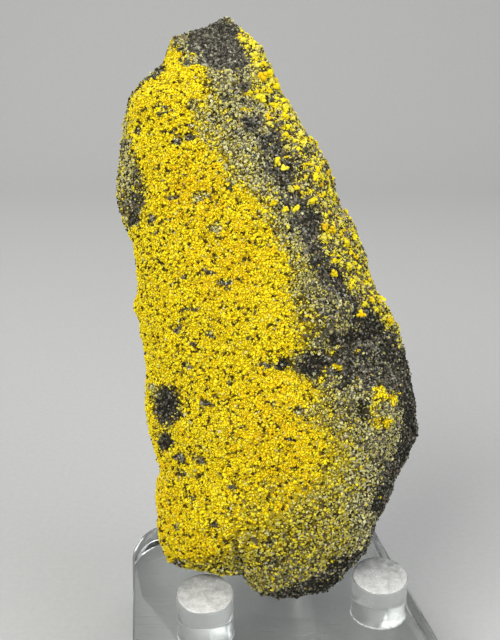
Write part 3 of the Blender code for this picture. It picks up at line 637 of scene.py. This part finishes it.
def surface_places(mesh, cell, seed):
    """Random places on the mesh, about one to a cell of this size, with the way the surface faces at each."""
    draw = np.random.default_rng(seed)
    corners, vertex_normals = mesh_arrays(mesh)
    mesh.calc_loop_triangles()
    triangles = np.zeros(len(mesh.loop_triangles) * 3, np.int64)
    mesh.loop_triangles.foreach_get("vertices", triangles)
    triangles = triangles.reshape(-1, 3)
    a, b, c = (corners[triangles[:, i]] for i in range(3))
    areas = np.linalg.norm(np.cross(b - a, c - a), axis=1) / 2.0
    wanted = int(areas.sum() / (cell * MM) ** 2 * TRIES_IN_A_CELL)
    chosen = draw.choice(len(triangles), wanted, p=areas / areas.sum())
    s, t = draw.random(wanted), draw.random(wanted)
    flip = s + t > 1.0
    s[flip], t[flip] = 1.0 - s[flip], 1.0 - t[flip]
    places = a[chosen] + (b - a)[chosen] * s[:, None] + (c - a)[chosen] * t[:, None]
    ways = vertex_normals[triangles[chosen]].mean(1)
    ways /= np.linalg.norm(ways, axis=1)[:, None]
    cells = np.floor(places / (cell * MM)).astype(np.int64)
    keys = (cells[:, 0] * CELL_STEP + cells[:, 1]) * CELL_STEP + cells[:, 2]
    _, first = np.unique(keys, return_index=True)
    return places[first], ways[first], draw


def some_of(chosen, most, draw):
    """The indexes where chosen is true, thinned out evenly when there are more than most."""
    found = np.flatnonzero(chosen)
    return draw.choice(found, most, replace=False) if len(found) > most else found


def crumb_shape(kind):
    """The points and triangles of a crumb of radius 1: round with 20 faces, blocky 12, angular 8."""
    shape = bmesh.new()
    if kind == "round":
        bmesh.ops.create_icosphere(shape, subdivisions=1, radius=1.0)
    elif kind == "blocky":
        bmesh.ops.create_cube(shape, size=2.0 / math.sqrt(3.0))
        bmesh.ops.triangulate(shape, faces=shape.faces)
    else:
        tips = [shape.verts.new(tip) for tip in ANGULAR_TIPS]
        for i in range(4):
            shape.faces.new((tips[i], tips[(i + 1) % 4], tips[4]))
            shape.faces.new((tips[(i + 1) % 4], tips[i], tips[5]))
    shape.verts.index_update()
    points = np.array([vert.co for vert in shape.verts])
    faces = np.array([[vert.index for vert in face.verts] for face in shape.faces])
    shape.free()
    return points, faces


def random_turns(count, draw):
    """Random rotation matrices, from random unit quaternions."""
    w, x, y, z = draw.normal(size=(4, count))
    length = np.sqrt(w * w + x * x + y * y + z * z)
    w, x, y, z = w / length, x / length, y / length, z / length
    rows = (
        (1 - 2 * (y * y + z * z), 2 * (x * y - w * z), 2 * (x * z + w * y)),
        (2 * (x * y + w * z), 1 - 2 * (x * x + z * z), 2 * (y * z - w * x)),
        (2 * (x * z - w * y), 2 * (y * z + w * x), 1 - 2 * (x * x + y * y)),
    )
    return np.moveaxis(np.array(rows), 2, 0)


def crumbs(name, places, ways, sizes, colours, look, draw, kind="round", flat=0.8, sink=0.25, rough=0.28):
    """Joins a crumb at each place into one piece: uneven, pressed flat, a little sunk, with painted shade
    darkening its underside.
    """
    shape, faces = crumb_shape(kind)
    count = len(places)
    body = shape[None] * (1.0 + rough * draw.uniform(-1.0, 1.0, (count, len(shape), 1)))
    body = body * draw.uniform(*CRUMB_STRETCH, (count, 1, 3))
    body = np.einsum("nij,nkj->nki", random_turns(count, draw), body)
    height = np.einsum("nki,ni->nk", body, ways)
    body = body - ways[:, None, :] * (height * (1.0 - flat))[:, :, None]
    raised = places + ways * (sizes * (flat - sink))[:, None] * CRUMB_RISE
    body = raised[:, None, :] + body * sizes[:, None, None]
    # Painted shade: each crumb's colour darkens towards its underside, where it meets the rock.
    shade = PAINTED_UNDERSIDE_SHADE + (1.0 - PAINTED_UNDERSIDE_SHADE) * ease(-0.7, 0.35, height)
    tints = np.ones((count, len(shape), 4))
    tints[:, :, :3] = colours[:, None, :] * shade[:, :, None]
    mesh = bpy.data.meshes.new(name)
    mesh.vertices.add(count * len(shape))
    mesh.vertices.foreach_set("co", body.reshape(-1))
    joined = (faces[None] + (np.arange(count) * len(shape))[:, None, None]).reshape(-1)
    mesh.loops.add(len(joined))
    mesh.loops.foreach_set("vertex_index", joined.astype(np.int32))
    mesh.polygons.add(len(joined) // 3)
    mesh.polygons.foreach_set("loop_start", np.arange(0, len(joined), 3, dtype=np.int32))
    mesh.update(calc_edges=True)
    # The tint attribute holds each crumb's colour together with its painted underside shade.
    tint = mesh.color_attributes.new("tint", "FLOAT_COLOR", "POINT")
    tint.data.foreach_set("color", tints.reshape(-1).astype(np.float32))
    mesh.polygons.foreach_set("use_smooth", np.full(len(mesh.polygons), kind != "angular"))
    mesh.materials.append(look)
    piece = placed(name, mesh)
    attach(piece, "root")
    return piece


def mineral(name, roughness, fineness, bumpiness, specular):
    """A crumbly mineral in each crumb's own tint and painted underside shade, mottled and pitted by the
    crystals in it.
    """
    look, tree, shader = new_material(name, Specular_IOR_Level=specular)
    place = tree.nodes.new("ShaderNodeTexCoord").outputs["Object"]
    own = add_node(tree, "ShaderNodeAttribute", attribute_name="tint")
    crystals = blotches(tree, place, fineness, 4.0, 0.65)
    tone = rescaled(tree, crystals, 0.3, 0.7, 0.78, 1.12)
    colour = add_node(
        tree, "ShaderNodeVectorMath", [(own.outputs["Color"], 0), (tone, "Scale")], operation="SCALE",
    )
    tree.links.new(colour.outputs["Vector"], shader.inputs["Base Color"])
    dull = rescaled(tree, crystals, 0.25, 0.75, roughness - 0.15, roughness + 0.15)
    tree.links.new(dull, shader.inputs["Roughness"])
    tree.links.new(relief(tree, crystals, bumpiness, 0.08), shader.inputs["Normal"])
    return look


# The tints of the crumbs, and how much greyer the pale ones are high on the face and low on its right.
AGED = np.array(((0.56, 0.47, 0.025), (0.66, 0.57, 0.045), (0.42, 0.35, 0.02), (0.76, 0.66, 0.06)))
YELLOWS = np.array(((0.90, 0.72, 0.006), (0.93, 0.79, 0.012), (0.84, 0.66, 0.005), (0.90, 0.77, 0.025)))
GOLDS = np.array(((0.88, 0.61, 0.004), (0.80, 0.53, 0.005), (0.90, 0.65, 0.006)))
LEMONS = np.array(((0.80, 0.71, 0.08), (0.72, 0.65, 0.13), (0.86, 0.76, 0.05)))
OLIVES = np.array(((0.52, 0.44, 0.045), (0.38, 0.32, 0.035), (0.62, 0.53, 0.06), (0.28, 0.23, 0.03)))
PALES = np.array((
    (0.50, 0.46, 0.15), (0.42, 0.39, 0.12), (0.56, 0.52, 0.19), (0.36, 0.33, 0.10), (0.60, 0.57, 0.30),
))
GREYER_BY = np.array((0.05, 0.055, 0.06))
TANS = np.array(((0.36, 0.25, 0.13), (0.44, 0.33, 0.19), (0.28, 0.20, 0.13)))
UNEVEN = 0.25
# How often a crumb has each tint, and how many crumbs the ridge has between its knots.
GOLDEN_ANYWHERE, GOLDEN_IN_SPOTS, OLIVE_WHERE_THIN, AGED_SHARE, AGED_COVER = 0.10, 0.50, 0.82, 0.8, 0.9
LEMON_ANYWHERE, LEMON_ON_RIDGE, LEMON_WHERE_THIN = 0.07, 0.50, 0.30
OLIVE_AMONG_PALE, OLIVE_LOW, TAN_AMONG_PALE, TAN_ON_RIDGE = 0.10, 0.45, 0.03, 0.30
UPPER_RIDGE, RIDGE_CRUMBS, UPPER_RIDGE_CRUMBS, RIDGE_CLUSTERS = (80.0, 86.0), 0.16, 0.18, 0.64
PALE_ON_RIDGE, PALE_IN_YELLOW, MOST_PALE = 0.36, 0.02, 0.95


def pick(colours, count, draw, spread=0.12):
    """A colour for each crumb, from a short list, each a little lighter or darker."""
    chosen = colours[draw.integers(0, len(colours), count)]
    return np.clip(chosen * draw.uniform(1.0 - spread, 1.0 + spread, (count, 1)), 0.0, 1.0)


def repaint(tints, some, colours, draw, spread=0.12):
    """Gives some of the crumbs other colours."""
    tints[some] = pick(colours, int(some.sum()), draw, spread)


places, ways, draw = surface_places(stone.data, CRUMB_CELL, CRUST_SEED)
facing = -ways @ STONE_IN
front = facing > CRUST_WRAP
places, ways, facing = places[front], ways[front], facing[front]
right, _, up = on_stone(places)
cover = crust_cover(places, facing)
ridge, pale = cover["ridge"], cover["pale"]
clusters = ease(0.0, 0.35, mottle(places, 1.2, 33.0))
ridge_crumbs = RIDGE_CRUMBS + UPPER_RIDGE_CRUMBS * ease(*UPPER_RIDGE, up) + RIDGE_CLUSTERS * clusters
yellow = np.maximum(cover["yellow"], ridge * ridge_crumbs)
aged = patch(right, up, AGED_SPOTS, 0.5)
clusters = 0.10 + 0.90 * ease(-0.25, 0.12, mottle(places, 0.8, 37.0))
aged_cover = AGED_COVER * aged * clusters * cover["veil"] ** 0.4
aged_cover = aged_cover * (1.0 - cover["pit"]) * (1.0 - cover["black"])
yellow = np.maximum(yellow * (1.0 - 0.4 * aged), aged_cover)
low_right = ease(42.0, 30.0, up) * ease(4.0, 13.0, right)
pale = pale * (1.0 + 0.08 * low_right) * (1.0 - 0.75 * aged * (1.0 - low_right))
pale = np.clip(pale, 0.0, MOST_PALE)
chance = draw.random(len(places))
is_yellow = chance < yellow
zippeite = mineral("zippeite_crust", 0.7, 9000.0, 0.5, 0.15)
golden = patch(right, up, GOLDEN_SPOTS, 0.6) + 0.5 * mottle(places, 1.6, 41.0)
is_golden = draw.random(len(places)) < GOLDEN_ANYWHERE + GOLDEN_IN_SPOTS * golden
is_olive = draw.random(len(places)) < OLIVE_WHERE_THIN * ease(0.94, 0.45, yellow)
lemons = LEMON_ON_RIDGE * ridge + LEMON_ANYWHERE + LEMON_WHERE_THIN * ease(0.95, 0.5, yellow) * (1.0 - aged)
is_lemon = draw.random(len(places)) < lemons
tints = pick(YELLOWS, len(places), draw)
repaint(tints, is_golden, GOLDS, draw)
repaint(tints, is_lemon, LEMONS, draw)
is_olive &= ~is_lemon
repaint(tints, is_olive, OLIVES, draw, UNEVEN)
is_aged = draw.random(len(places)) < AGED_SHARE * aged * ease(1.0, 0.75, cover["veil"])
repaint(tints, is_aged, AGED, draw, UNEVEN)
sizes = CRUMB_SIZE * MM * np.exp(draw.normal(0.0, SIZE_SPREAD, len(places))).clip(*SIZE_LIMITS)
sizes = sizes * (1.0 + AGED_GROWTH * aged)
for part, lowest, highest in CRUST_PARTS:
    chosen = some_of(is_yellow & (up >= lowest) & (up < highest), MOST_BLOCKY, draw)
    crumbs(
        f"zippeite_crust_{part}", places[chosen], ways[chosen], sizes[chosen], tints[chosen], zippeite, draw,
        kind="blocky", flat=0.72, sink=0.2,
    )

is_pale = ~is_yellow & (
    draw.random(len(places)) < pale + PALE_ON_RIDGE * ridge + PALE_IN_YELLOW * yellow
)
chosen = some_of(is_pale, MOST_ANGULAR, draw)
tints = pick(PALES, len(chosen), draw, UNEVEN)
greyer = np.maximum(ease(*UPPER_FACE, up), ease(*LOWER_RIGHT, right) * ease(*LOWER_FACE, up))
tints += GREYER_BY * greyer[chosen][:, None]
low_olives = OLIVE_LOW * low_right * ease(16.0, 11.0, right)
is_olive = draw.random(len(chosen)) < OLIVE_AMONG_PALE + low_olives[chosen]
repaint(tints, is_olive, OLIVES, draw, UNEVEN)
is_tan = draw.random(len(chosen)) < TAN_AMONG_PALE + TAN_ON_RIDGE * ridge[chosen]
repaint(tints, is_tan, TANS, draw, UNEVEN)
crumbs(
    "pale_crust", places[chosen], ways[chosen], sizes[chosen], tints,
    mineral("pale_crust", 0.7, 9000.0, 0.5, 0.2), draw, kind="angular", flat=0.9,
)


# Loose-looking grains of the sandstone: quartz stained black and grey, standing out of every bare and broken
# face, with here and there a clean, glassy or rust-brown one. The pale grey of the glassy ones is partly
# painted glints. They are part of the rock and not of the crust.

GRAIN_SEED, GRAIN_CELL, GRAIN_SIZE, GRAIN_RANGE = 19, 0.42, 0.23, (0.6, 1.35)
MOST_GRAINS, FACE_GRAINS, BACK_GRAINS = 20000, 0.85, 0.22
PALE_AND_GLINT_SHARE, GRAIN_UNEVEN = 0.32, 0.3
# The grains of the broken top are more even, and smaller.
CALM_TOP, MOST_CALM, SMALLER_BY = (86.0, 91.0), 0.5, 0.4
BLACKS = np.array((
    (0.016, 0.015, 0.010), (0.044, 0.042, 0.030), (0.100, 0.096, 0.072), (0.024, 0.023, 0.016),
))
BROWNS = np.array(((0.095, 0.066, 0.006), (0.055, 0.038, 0.005), (0.15, 0.105, 0.007), (0.030, 0.022, 0.006)))
GREYS = np.array(((0.14, 0.135, 0.105), (0.20, 0.19, 0.15), (0.30, 0.29, 0.23), (0.17, 0.12, 0.085)))
EVEN_GREY = np.array((0.085, 0.082, 0.066))

places, ways, draw = surface_places(stone.data, GRAIN_CELL, GRAIN_SEED)
facing = -ways @ STONE_IN
cover = crust_cover(places, facing)
bare = 1.0 - np.clip(cover["yellow"] + 0.8 * cover["pale"] + 0.5 * cover["ridge"], 0.0, 1.0)
grainy = bare * np.where(facing > 0.0, FACE_GRAINS, BACK_GRAINS)
chosen = some_of(draw.random(len(places)) < grainy, MOST_GRAINS, draw)
tints = pick(BLACKS, len(chosen), draw, 0.4)
# A share of the grains turn pale grey: partly clean quartz, partly painted glints.
pale_and_glinting = draw.random(len(chosen)) < PALE_AND_GLINT_SHARE * (1.0 - 0.3 * cover["black"][chosen])
repaint(tints, pale_and_glinting, GREYS, draw, GRAIN_UNEVEN)
tints *= rock_layers(places[chosen], facing[chosen])[:, None] ** 1.5
calm = MOST_CALM * ease(*CALM_TOP, on_stone(places[chosen])[2])
tints += (EVEN_GREY - tints) * calm[:, None]
brown = draw.random(len(chosen)) < 1.3 * cover["veil"][chosen]
repaint(tints, brown, BROWNS, draw, GRAIN_UNEVEN)
crumbs(
    "sandstone_grains", places[chosen], ways[chosen],
    GRAIN_SIZE * MM * draw.uniform(*GRAIN_RANGE, len(chosen)) * (1.0 - SMALLER_BY * calm), tints,
    mineral("quartz_grains", 0.6, 7000.0, 0.4, 0.14), draw, kind="angular", flat=0.9,
)


# The ridge clumps: down the right rim the zippeite sits in separate knots of 1 to 1.6 mm, each a ball of
# crumbs grown together, golden where it is thick. Smaller crumbs and bare black rock show between them.

# Where the larger knots sit, each (right, up) in millimetres.
KNOTS = (
    (-3.9, 93.8), (-1.2, 92.6), (-0.6, 89.7), (0.4, 88.4), (-0.9, 84.1), (1.4, 86.0), (3.3, 79.2),
    (3.1, 77.3), (5.4, 77.9), (6.2, 76.2), (1.7, 73.4), (2.6, 72.0), (3.9, 68.6), (5.2, 69.2),
    (3.1, 64.9), (4.4, 65.7), (1.3, 66.3), (7.5, 66.8), (9.1, 66.2), (8.0, 72.0), (7.8, 70.2),
    (9.6, 70.0), (10.4, 68.4), (3.0, 62.4), (13.3, 64.1), (11.0, 62.4), (9.1, 62.3), (8.8, 60.2),
    (10.2, 60.8), (9.9, 58.7), (12.6, 60.3), (13.4, 61.8), (14.3, 60.7), (14.6, 58.4), (16.0, 58.7),
    (13.1, 56.1), (10.7, 55.2), (14.9, 54.0), (16.4, 53.7), (17.2, 51.1), (13.3, 52.7), (15.6, 50.4),
    (15.4, 48.2), (17.6, 49.2), (20.1, 47.4), (21.8, 46.2), (19.4, 50.8), (-2.7, 91.5), (-1.5, 89.9),
    (-0.7, 87.9), (0.8, 82.7), (2.8, 82.5), (3.4, 80.8), (-2.2, 93.6), (0.9, 87.2),
)
KNOT_SEED, KNOT_CELL = 12, 0.7
KNOT_REACH, KNOT_RANGE, UPPER_SWELL = 0.50, (0.9, 1.25), 0.25
SMALL_KNOTS, SMALL_KNOT_RANGE, SMALL_KNOT_CHANCE = 320, (0.4, 0.95), 0.4
CRUMBS_IN_A_KNOT, KNOT_CRUMB_RANGE, KNOT_SPREAD, KNOT_RISE = 13, (0.28, 0.62), 0.42, 0.15
LEMON_KNOTS, GOLDEN_KNOTS = 0.4, 0.12
TURNED_AWAY, TURNED_AWAY_PENALTY = 0.2, 5.0

knot_places, knot_ways, draw = surface_places(stone.data, KNOT_CELL, KNOT_SEED)
knot_right, _, knot_up = on_stone(knot_places)
facing = -knot_ways @ STONE_IN
ridge = crust_cover(knot_places, facing)["ridge"]
picked, spans = [], []
for x, z in KNOTS:
    away = np.hypot(knot_right - x, knot_up - z) + TURNED_AWAY_PENALTY * (facing < TURNED_AWAY)
    picked.append(int(away.argmin()))
    spans.append(KNOT_REACH * draw.uniform(*KNOT_RANGE) * (1.0 + UPPER_SWELL * ease(*UPPER_RIDGE, z)))
for i in draw.permutation(len(knot_places)):
    if len(picked) < len(KNOTS) + SMALL_KNOTS and draw.random() < SMALL_KNOT_CHANCE * ridge[i] ** 2:
        picked.append(int(i))
        spans.append(KNOT_REACH * draw.uniform(*SMALL_KNOT_RANGE))
centres = knot_places[picked].repeat(CRUMBS_IN_A_KNOT, axis=0)
outwards = knot_ways[picked].repeat(CRUMBS_IN_A_KNOT, axis=0)
spans = np.array(spans).repeat(CRUMBS_IN_A_KNOT) * MM
spread = draw.normal(size=centres.shape)
spread -= outwards * (spread * outwards).sum(1)[:, None] * 0.55
centres = centres + (spread * KNOT_SPREAD + outwards * KNOT_RISE) * spans[:, None]
tints = pick(YELLOWS, len(picked), draw)
lemon = draw.random(len(picked)) < LEMON_KNOTS
repaint(tints, lemon, LEMONS, draw)
golden = draw.random(len(picked)) < GOLDEN_KNOTS
repaint(tints, golden, GOLDS, draw)
crumbs(
    "ridge_clumps", centres, outwards, spans * draw.uniform(*KNOT_CRUMB_RANGE, len(spans)),
    np.clip(tints.repeat(CRUMBS_IN_A_KNOT, axis=0) * draw.uniform(0.84, 1.08, (len(spans), 1)), 0.0, 1.0),
    zippeite, draw, flat=0.9, rough=0.25,
)


# The paper sweep: pale paper that runs flat under the stand and curves up behind it. It lies 0.05 mm below
# the plate's underside. It belongs to the studio and not to the object.

SWEEP_HALF_WIDTH = 1.8
FLOOR_Z = -0.00005
FLAT_FROM, FLAT_TO, SWEEP_RADIUS, SWEEP_TOP = -0.6, 0.34, 0.22, 0.9
CURVE_STEPS = 16
PAPER_TONES = ((0.40, 0.405, 0.40, 1.0), (0.46, 0.465, 0.46, 1.0))

sweep_profile = [(FLAT_FROM, FLOOR_Z), (0.0, FLOOR_Z), (FLAT_TO, FLOOR_Z)]
for step in range(1, CURVE_STEPS + 1):
    turn = math.pi / 2.0 * step / CURVE_STEPS
    rise = SWEEP_RADIUS * (1.0 - math.cos(turn))
    sweep_profile.append((FLAT_TO + SWEEP_RADIUS * math.sin(turn), FLOOR_Z + rise))
sweep_profile.append((FLAT_TO + SWEEP_RADIUS, SWEEP_TOP))
bm = bmesh.new()
columns = [[bm.verts.new((x, y, z)) for y, z in sweep_profile] for x in (-SWEEP_HALF_WIDTH, SWEEP_HALF_WIDTH)]
for i in range(len(sweep_profile) - 1):
    bm.faces.new((columns[0][i], columns[1][i], columns[1][i + 1], columns[0][i + 1]))
paper, paper_tree, paper_shader = new_material("pale_paper", Roughness=0.85, Specular_IOR_Level=0.2)
paper_place = paper_tree.nodes.new("ShaderNodeTexCoord").outputs["Object"]
fibre = blotches(paper_tree, paper_place, 900.0, 4.0)
paper_tone = add_node(paper_tree, "ShaderNodeValToRGB", [(fibre, "Fac")])
for step, colour in zip(paper_tone.color_ramp.elements, PAPER_TONES):
    step.color = colour
paper_tree.links.new(paper_tone.outputs["Color"], paper_shader.inputs["Base Color"])
sweep_mesh = bpy.data.meshes.new("paper_sweep")
bm.to_mesh(sweep_mesh)
bm.free()
sweep_mesh.materials.append(paper)
sweep_mesh.shade_smooth()
sweep = placed("paper_sweep", sweep_mesh)


# The camera: a lens of moderate length, 18 cm from the stone and square to its crusted face, so it looks down
# by as much as the stone leans back.

PICTURE_HEIGHT_PX, VIEW_FOCAL_PX, SENSOR = 640.0, 1050.0, 36.0
VIEW_DISTANCE = 180.0
VIEW_ELEVATION = math.radians(21.0)
# The point that the camera aims at: millimetres to the right, in and up along the stone.
AIM_ON_STONE = (-2.7, 2.0, 47.5)

aim = np.array(stone_origin) + MM * (
    AIM_ON_STONE[0] * STONE_RIGHT + AIM_ON_STONE[1] * STONE_IN + AIM_ON_STONE[2] * STONE_UP
)
aim = Vector(aim)
back = Vector((0.0, -math.cos(VIEW_ELEVATION), math.sin(VIEW_ELEVATION)))
lens = bpy.data.cameras.new("studio_camera")
lens.sensor_width = SENSOR
lens.lens = lens.sensor_width * VIEW_FOCAL_PX / PICTURE_HEIGHT_PX
lens.clip_start = 0.005
camera = placed("studio_camera", lens)
camera.location = aim + back * VIEW_DISTANCE * MM
camera.rotation_euler = (-back).to_track_quat("-Z", "Y").to_euler()
bpy.context.scene.camera = camera


# The lamps: four large soft squares of light. The key stands at the front left, a weaker one fills in from
# the right, and two above and behind light the rims and the back. A pale room lights the rest evenly.

# Each lamp is (name, place in metres, side in metres, power in watts, colour).
LAMPS = (
    ("key_lamp", (-0.28, -0.34, 0.46), 0.36, 3.3, (1.0, 0.98, 0.95)),
    ("fill_lamp", (0.42, -0.26, 0.26), 0.40, 1.75, (0.97, 0.98, 1.0)),
    ("top_lamp", (0.05, 0.16, 0.55), 0.34, 0.95, (1.0, 1.0, 1.0)),
    ("back_lamp", (-0.22, 0.27, 0.44), 0.34, 0.55, (1.0, 0.99, 0.97)),
)
ROOM_LIGHT, ROOM_STRENGTH = (0.83, 0.83, 0.83, 1.0), 0.45

for name, place, size, power, colour in LAMPS:
    lamp = bpy.data.lights.new(name, "AREA")
    lamp.shape = "SQUARE"
    lamp.size = size
    lamp.energy = power
    lamp.color = colour
    holder = placed(name, lamp)
    holder.location = place
    holder.rotation_euler = (aim - Vector(place)).to_track_quat("-Z", "Y").to_euler()

sky = bpy.data.worlds.new("soft_room")
sky.use_nodes = True
sky.node_tree.nodes["Background"].inputs["Color"].default_value = ROOM_LIGHT
sky.node_tree.nodes["Background"].inputs["Strength"].default_value = ROOM_STRENGTH
bpy.context.scene.world = sky
bpy.context.scene.view_settings.view_transform = "Standard"
